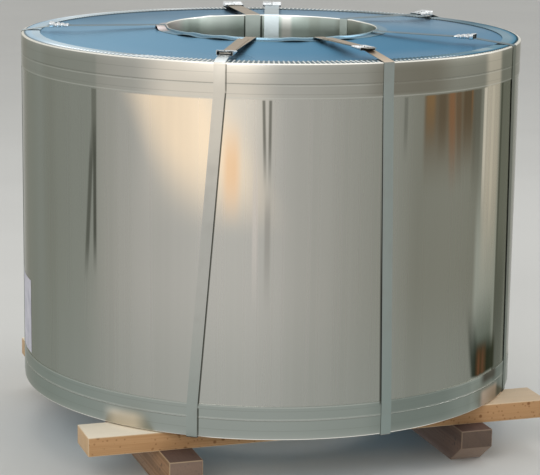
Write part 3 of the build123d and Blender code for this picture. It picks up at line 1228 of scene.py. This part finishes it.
@dataclass
class Strap:
    """A steel band through the eye and down the side, closed over the top cover by a crimped seal.

    Its angles are degrees round the coil and its lap is how far the free end runs back from the seal
    towards the eye, askew by some degrees.
    """

    name: str
    top_angle: float
    bottom_angle: float
    width: float
    seal_inset: float
    tail: float = 20 * MM
    lap: float = 0.0
    askew: float = 0.0
    sizes: CoilSizes = SIZES
    thickness: float = 0.9 * MM
    seat: float = 0.1 * MM
    bow: float = 7 * MM
    land: float = 28 * MM
    bend: float = 2.2 * MM
    tail_angle: float = 7
    seal_length: float = 45 * MM
    seal_flange: float = 6 * MM
    seal_mouth: float = 12 * MM
    seal_wall: float = 1.2 * MM
    seal_corner: float = 1.6 * MM
    clearance: float = 0.2 * MM
    seam: float = 2.4 * MM
    seam_lift: float = 0.7 * MM
    long_run: float = 120 * MM
    run_cuts: int = 7
    seal_cuts: int = 17
    nick: float = 2 * MM
    # Where the jaws nick the seal, as shares of its length from its middle
    nicks: tuple[float, ...] = (-0.30, -0.05, 0.20)

    @property
    def lip_point(self) -> Vector:
        """Where the strap leaves the eye's lip, as radius and height."""
        return Vector((self.sizes.eye_radius + self.sizes.lip_width, self.sizes.lip + self.seat))

    @property
    def rim_point(self) -> Vector:
        """Where the strap turns down at the rim."""
        return Vector((self.sizes.rim_radius + self.seat, self.sizes.flange_level + self.seat))

    def bowed(self, radius: float) -> Vector:
        """A point of the straight stretch under the seal, which stands off the cover."""
        lip, rim = self.lip_point, self.rim_point
        return lip + (rim - lip) * ((radius - lip.x) / (rim.x - lip.x)) + Vector((0, self.bow))

    def seal_ends(self) -> tuple[Vector, Vector]:
        """Where the stretch under the seal starts and ends."""
        middle = self.sizes.rim_radius - self.seal_inset
        return self.bowed(middle - self.land), self.bowed(middle + self.land)

    def route(self) -> list[Point]:
        """Follows the strap's inside from the foot of the outer run round to it again.

        Returns:
            Radii and heights.
        """
        s = self.sizes
        inside = math.sqrt(s.eye_radius ** 2 - (self.width / 2) ** 2) - self.seat
        low = s.under_cover - s.crimp_height - self.seat
        foot, head = s.bottom + s.inner_leg, s.top - s.inner_leg
        lip, rim = self.lip_point, self.rim_point
        inner, outer = self.seal_ends()
        return [
            (rim.x, foot), (rim.x, head), tuple(rim), tuple(outer), tuple(inner), tuple(lip), (inside, lip.y),
            (inside, head), (inside, foot), (inside, low), (lip.x, low), (rim.x, low),
        ]

    def lap_points(self) -> list[Point]:
        """Follows the end that lies on the strap, runs through the seal and springs up past it.

        Returns:
            Radii and heights.
        """
        inner, outer = self.seal_ends()
        along = (outer - inner).normalized()
        up = Vector((-along.y, along.x))
        lift = math.radians(self.tail_angle)
        bend = (inner + outer) / 2 + up * self.thickness
        points = [inner + up * self.thickness, bend]
        if self.lap:
            inwards = (self.lip_point - inner).normalized()
            above = Vector((inwards.y, -inwards.x))
            points.insert(0, inner + inwards * self.lap + above * self.thickness)
        for share, turn in ((0.3, 0.7), (0.6, 0.9), (1.0, 1.0)):
            heading = along * math.cos(lift * turn) + up * math.sin(lift * turn)
            points.append(bend + heading * self.tail * share)
        return [tuple(point) for point in points]

    def lean(self, height: float) -> float:
        """Says how far round the strap has slid at a height.

        Args:
            height: the height.

        Returns:
            Radians from its top.
        """
        low, high = self.sizes.bottom + self.sizes.inner_leg, self.sizes.top - self.sizes.inner_leg
        share = min(1.0, max(0.0, (high - height) / (high - low)))
        return math.radians(self.bottom_angle - self.top_angle) * share

    def build(self, strap_skin: Finish, seal_skin: Finish) -> None:
        """Makes the band with its bends and lap, then its seal.

        Args:
            strap_skin: the band's material.
            seal_skin: the seal's material.
        """
        band = self.ribbon(f"band_{self.name}", self.route())
        self.close_and_bend(band)
        self.thicken(band)
        lap = self.ribbon(f"lap_{self.name}", self.lap_points())
        inner, outer = self.seal_ends()
        pivot = ((inner.x + outer.x) / 2, 0, 0)
        with editing():
            bpy.ops.transform.rotate(
                value=-math.radians(self.askew), orient_axis="Z", center_override=pivot,
            )
        self.thicken(lap)
        choose(band, lap)
        bpy.ops.object.join()
        self.slide(band)
        dress(band, strap_skin, Slot.STRAP, f"strap_{self.name}", smooth=50)
        self.build_seal(seal_skin)

    def ribbon(self, name: str, points: Sequence[Point]) -> Piece:
        """Extrudes a strap's edge along points in the plane through the axis.

        Args:
            name: the ribbon's name.
            points: radii and heights of the ribbon's inside.

        Returns:
            The ribbon, in object mode.
        """
        (radius, height), half, plane = points[0], self.width / 2, bpy.ops.mesh.primitive_plane_add
        piece = start(plane, name, size=self.width, location=(radius + half, 0, height))
        with editing():
            pick(piece, lambda p: p.x > points[0][0] + half)
            bpy.ops.mesh.delete(type="VERT")
            bpy.ops.mesh.select_all(action="SELECT")
            for next_radius, next_height in points[1:]:
                step = (next_radius - radius, 0, next_height - height)
                bpy.ops.mesh.extrude_edges_move(TRANSFORM_OT_translate={"value": step})
                radius, height = next_radius, next_height
        return piece

    def close_and_bend(self, band: Piece) -> None:
        """Bridges the ribbon's ends, rounds its bends, and cuts its long runs up, so that they can slide.

        Args:
            band: the ribbon, in object mode.
        """
        def across(edge: bmesh.types.BMEdge) -> bool:
            """Whether an edge runs across the strap."""
            return abs(edge.verts[0].co.y - edge.verts[1].co.y) > self.width / 2

        def bent(edge: bmesh.types.BMEdge) -> bool:
            """Whether the strap bends at an edge."""
            faces = edge.link_faces
            return across(edge) and len(faces) == 2 and faces[0].normal.angle(faces[1].normal) > 0.35

        with editing():
            pick_edges(band, lambda edge: across(edge) and len(edge.link_faces) == 1)
            bpy.ops.mesh.bridge_edge_loops()
            pick_edges(band, bent)
            bpy.ops.mesh.bevel(offset=self.bend, segments=3, affect="EDGES", clamp_overlap=True)
            pick_edges(band, lambda edge: edge.calc_length() > self.long_run)
            bpy.ops.mesh.subdivide(number_cuts=self.run_cuts)

    def thicken(self, piece: Piece) -> None:
        """Gives a ribbon its gauge, away from the coil.

        Args:
            piece: the ribbon, in object mode.
        """
        on_top = self.sizes.top - 5 * MM - piece.location.z
        face_away(piece, lambda f: f.normal.z * f.area if f.center.z > on_top else 0)
        modify(piece, "SOLIDIFY", thickness=self.thickness, offset=1)

    def slide(self, piece: Piece) -> None:
        """Turns the band to its angle, and each level of it on by as much as it leans there.

        Args:
            piece: the band, in object mode.
        """
        apply_place(piece)
        levels = sorted({round(vert.co.z, 5) for vert in piece.data.vertices})
        with editing():
            turn_about_axis(math.radians(self.top_angle))
            for level in levels:
                if self.lean(level):
                    pick(piece, lambda p: round(p.z, 5) == level)
                    turn_about_axis(self.lean(level))

    def build_seal(self, skin: Finish) -> None:
        """Folds a sleeve round the lap, flares its mouth, slits its top and nicks its edges.

        Args:
            skin: the seal's material.
        """
        half, wide = self.seal_length / 2, self.width + 2 * self.seal_flange
        foot = -self.clearance - self.seal_wall
        snug_top = 2 * self.thickness + self.clearance + self.seal_wall
        piece = start(bpy.ops.mesh.primitive_cube_add, f"seal_sleeve_{self.name}", size=1)
        piece.scale = (self.seal_length, wide, snug_top - foot)
        piece.location = (0, 0, (snug_top + foot) / 2)
        apply_place(piece)
        with editing():
            pick(piece, lambda p: abs(p.x) > half * 0.99, "FACE")
            bpy.ops.mesh.delete(type="ONLY_FACE")
            pick(piece, lambda p: p.x > half * 0.99 and p.z > 0)
            raise_by(foot + self.seal_mouth - snug_top)
            pick(piece, lambda p: abs(p.y) > wide * 0.49 and abs(p.x) < half * 0.5, "EDGE")
            bpy.ops.mesh.bevel(offset=self.seal_corner, segments=3, affect="EDGES")
            pick_edges(piece, lambda edge: abs(edge.verts[0].co.x - edge.verts[1].co.x) > half)
            bpy.ops.mesh.subdivide(number_cuts=self.seal_cuts)
            for share in self.nicks:
                at = share * self.seal_length
                pick(piece, lambda p: abs(p.x - at) < self.nick and abs(p.y) > wide * 0.42)
                bpy.ops.transform.resize(value=(1, 0.88, 0.6), center_override=(at, 0, 0))
            bpy.ops.mesh.select_all(action="SELECT")
            bpy.ops.mesh.normals_make_consistent(inside=False)
            self.slit(piece)
        modify(piece, "SOLIDIFY", thickness=self.seal_wall * 0.8, offset=-1)
        inner, outer = self.seal_ends()
        middle, along = (inner + outer) / 2, (outer - inner).normalized()
        turn = Matrix.Rotation(math.radians(self.top_angle), 4, "Z")
        tilt = Matrix.Rotation(math.atan2(-along.y, along.x), 4, "Y")
        piece.matrix_world = turn @ Matrix.Translation((middle.x, 0, middle.y)) @ tilt
        dress(piece, skin, Slot.STRAP, f"seal_{self.name}", smooth=50)

    def slit(self, piece: Piece) -> None:
        """Opens the seam between the sleeve's two flaps along its top, and lifts one flap's edge a little.

        Args:
            piece: the sleeve, in edit mode.
        """
        half, top = self.seam / 2, self.thickness
        for side in (-half, half):
            bpy.ops.mesh.select_all(action="SELECT")
            bpy.ops.mesh.bisect(plane_co=(0, side, 0), plane_no=(0, 1, 0))
        pick(piece, lambda p: abs(p.y) < half * 0.9 and p.z > top, "FACE")
        bpy.ops.mesh.delete(type="FACE")
        snug = self.seal_length * 0.3
        pick(piece, lambda p: abs(p.y - half) < 0.1 * MM and p.z > top and p.x < snug)
        raise_by(self.seam_lift)


@dataclass
class PaperLabel:
    """A blank sheet of paper stuck to the turn on the coil's left side."""

    sizes: CoilSizes = SIZES
    width: float = 200 * MM
    height: float = 178 * MM
    angle: float = 172
    foot: float = 6 * MM
    glue: float = 0.1 * MM
    gauge: float = 0.3 * MM
    rows: int = 8
    columns: int = 24

    def build(self, skin: Finish) -> None:
        """Lays a sheet on the turn.

        Args:
            skin: the paper's material.
        """
        s, turn, plane = self.sizes, math.radians(self.angle), bpy.ops.mesh.primitive_plane_add
        radius = s.coil_radius + self.glue
        arc = self.width / radius
        low = s.bottom + s.outer_leg + self.foot
        piece = start(plane, "label_sheet", size=2 * MM, location=(radius, 0, low))
        with editing():
            draw_line([(radius, low + self.height * row / self.rows) for row in range(self.rows + 1)])
            sweep(arc, self.columns)
            bpy.ops.mesh.select_all(action="SELECT")
            turn_about_axis(turn + arc / 2)
        face_away(piece, lambda f: f.normal.x * math.cos(turn) + f.normal.y * math.sin(turn))
        modify(piece, "SOLIDIFY", thickness=self.gauge, offset=1)
        dress(piece, skin, Slot.PAPER, "paper_label")


@dataclass
class Timber:
    """A sawn timber of the skid, its edges a little worn."""

    node: str
    name: str
    slot: Slot
    wear: float = 2.0 * MM
    bevel_height: float = 0.0
    bevel_length: float = 0.0

    def build(self, skin: Finish) -> None:
        """Cuts the timber to its box, bevels its ends where it has them, and eases its edges.

        Args:
            skin: the timber's material.
        """
        low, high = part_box(self.node)
        piece = start(bpy.ops.mesh.primitive_cube_add, self.name, size=1, location=(low + high) / 2)
        piece.scale = high - low
        apply_place(piece)
        if self.bevel_height:
            for side, end in ((-1, low.y), (1, high.y)):
                self.cut_end(side, Vector((0, end - side * self.bevel_length, low.z)))
        modify(piece, "BEVEL", width=self.wear, segments=2, limit_method="ANGLE", angle_limit=math.radians(20))
        with editing():
            weld()
        dress(piece, skin, self.slot, self.node, smooth=50)

    def cut_end(self, side: int, foot: Vector) -> None:
        """Saws the slanted underside off one end.

        Args:
            side: which end, along Y.
            foot: where the slant meets the underside.
        """
        normal = Vector((0, side * self.bevel_height, -self.bevel_length)).normalized()
        with editing():
            bpy.ops.mesh.bisect(plane_co=foot, plane_no=normal, use_fill=True, clear_outer=True)


@dataclass(frozen=True)
class Studio:
    """A pale floor, a soft light, and the photograph's camera."""

    distance: float = 4868 * MM
    height: float = 1384 * MM
    bearing: float = -18.3
    pitch: float = -0.2132
    yaw: float = -0.0009
    roll: float = 0.0146
    lens: float = 134.34
    floor_tone: str = "#D6D6D3"
    floor_shade: str = "#D3D3D0"
    seen_in_metal: str = "#FAFAF8"
    backdrop: str = "#EDEDEB"
    light: str = "#F2F2F0"
    sky: float = 0.62
    # Each lamp's name, place, side and watts
    lamps: tuple[tuple[str, tuple[float, float, float], float, float], ...] = (
        ("key_lamp", (-3.2, -4.4, 3.6), 3.2, 110),
        ("side_lamp", (4.5, -1.0, 2.6), 2.2, 45),
        ("top_lamp", (0.5, 1.5, 5.0), 4.0, 60),
    )

    def build(self) -> None:
        """Sets the floor, the world, the lamps and the camera."""
        self.lay_floor()
        self.light_world()
        for name, place, size, power in self.lamps:
            bpy.ops.object.light_add(type="AREA", location=place)
            lamp = bpy.context.object
            lamp.name, lamp.data.size, lamp.data.energy = name, size, power
            aim = Vector((0, 0, 0.5)) - Vector(place)
            lamp.rotation_mode = "QUATERNION"
            lamp.rotation_quaternion = aim.to_track_quat("-Z", "Y")
        self.set_camera()

    def lay_floor(self) -> None:
        """A pale floor under the skid. Metal sees it paler still, so that the tin renders as it is written."""
        circle = bpy.ops.mesh.primitive_circle_add
        floor = start(circle, "studio_floor", vertices=96, radius=14, fill_type="NGON")
        skin = Skin("PaleFloor")
        cloud = skin.add("TexNoise", {"Vector": skin.place, "Scale": 1.4, "Detail": 4})
        colour = skin.tint(self.floor_tone, self.floor_shade, cloud, 0.3, 0.7)
        matt = skin.finish(Base_Color=colour, Roughness=0.8)
        glow = skin.add("Emission", {"Color": self.seen_in_metal, "Strength": 1.0})
        in_metal = skin.add("LightPath", output="Is Glossy Ray")
        either = skin.add("MixShader", {0: in_metal, 1: skin.shader.outputs[0], 2: glow})
        skin.plug(either, skin.tree.nodes["Material Output"].inputs[0])
        floor.data.materials.append(matt)

    def light_world(self) -> None:
        """An even pale sky, paler to the camera and in metal than the light that it gives."""
        world = bpy.data.worlds.new("PaleStudio")
        bpy.context.scene.world = world
        world.use_nodes = True
        tree = Tree(world.node_tree)
        light = tree.add("Background", {"Color": self.light, "Strength": self.sky})
        seen = tree.add("Background", {"Color": self.backdrop, "Strength": 1.0})
        shown = tree.add("Background", {"Color": self.seen_in_metal, "Strength": 1.0})
        to_camera = tree.add("LightPath", output="Is Camera Ray")
        in_metal = to_camera.node.outputs["Is Glossy Ray"]
        sky = tree.add("MixShader", {0: to_camera, 1: light, 2: seen})
        sky = tree.add("MixShader", {0: in_metal, 1: sky, 2: shown})
        tree.plug(sky, world.node_tree.nodes["World Output"].inputs[0])

    def set_camera(self) -> None:
        """Stands the camera where the photograph was taken from."""
        turn = math.radians(self.bearing)
        level = SIZES.under_cover + self.height
        place = Vector((self.distance * math.sin(turn), -self.distance * math.cos(turn), level))
        right = Vector((math.cos(self.yaw + turn), math.sin(self.yaw + turn), 0))
        flat = Vector((-right.y, right.x, 0))
        forward = flat * math.cos(self.pitch) + Vector((0, 0, math.sin(self.pitch)))
        up = right.cross(forward)
        cosine, sine = math.cos(self.roll), math.sin(self.roll)
        across, above = cosine * right + sine * up, cosine * up - sine * right
        bpy.ops.object.camera_add(location=place)
        camera = bpy.context.object
        camera.name = "photograph_camera"
        turned_to = Matrix((across, above, -forward)).transposed().to_4x4()
        camera.matrix_world = Matrix.Translation(place) @ turned_to
        camera.data.lens = self.lens
        camera.data.sensor_width = 36
        camera.data.clip_end = 100
        bpy.context.scene.camera = camera
        bpy.context.scene.view_settings.view_transform = "Standard"


STRAPS = (
    Strap("left", 165.0, 165.0, 25.4 * MM, 90 * MM),
    Strap("front_left", 241.2, 235.8, 25.4 * MM, 75 * MM, lap=200 * MM, askew=2.2),
    Strap(
        "front_right", 276.9, 278.4, 25.4 * MM, 122 * MM, tail=45 * MM, lap=165 * MM, askew=-2.5,
        bow=10.4 * MM, seal_mouth=7 * MM,
    ),
    Strap("right", 322.0, 325.0, 25.4 * MM, 118 * MM),
    Strap("back_right", 26.0, 26.0, 25.4 * MM, 55 * MM),
    Strap("back", 71.6, 71.6, 37 * MM, 55 * MM),
    Strap("back_left", 82.5, 82.5, 37 * MM, 55 * MM),
)


def build_skid() -> None:
    """Builds the two upper timbers and the two lower ones, which are darker, the right one darker still with
    painted shade.
    """
    across, away = Vector((1, 0, 0)), Vector((0, 1, 0))
    beam = SawnTimber(
        "SawnPineBeam", across, pale="#C0966A", grain="#96683A", knot="#7A4E26", end="#CDB08A",
        top="#FFF6E2", far_top="#CFBBA0", arris="#E6D2B2",
    ).material()
    for side in ("front", "back"):
        Timber(f"skid_beam_{side}", f"upper_timber_{side}", Slot.BEAM).build(beam)
    runners = {
        "left": SawnTimber(
            "SawnPineRunner", away, pale="#927050", grain="#6A4E34", knot="#443124", end="#7C6C64",
            top="#57453F", far_top="#57453F", arris="#C8B08C", seed=0.37,
        ),
        # The right runner is a darker copy of the left one: painted shade
        "right": SawnTimber(
            "ShadedPineRunner", away, pale="#5C4639", grain="#43322A", knot="#33271F", end="#5A4C42",
            top="#5A443C", far_top="#5A443C", arris="#A08A74", seed=0.61,
        ),
    }
    for side, timber in runners.items():
        Timber(
            f"skid_runner_{side}", f"lower_timber_{side}", Slot.RUNNER,
            bevel_height=46 * MM, bevel_length=62 * MM,
        ).build(timber.material())


def main() -> None:
    """Builds the coil, its packing and its skid, then the studio."""
    logging.basicConfig(level=logging.INFO, format="%(name)s: %(message)s")
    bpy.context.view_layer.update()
    ring, sheet = RingSteel().material(), LacqueredSheet().material()
    band, sleeve = StrapSteel().material(), SealZinc().material()
    WoundCoil().build(TinnedStrip().material())
    for end in End:
        EndCover(end).build(sheet)
        OuterEdgeRing(end).build(ring)
        InnerEdgeRing(end).build(ring)
    for strap in STRAPS:
        strap.build(band, sleeve)
    PaperLabel().build(LabelPaper().material())
    build_skid()
    Studio().build()


if __name__ == "__main__":
    main()
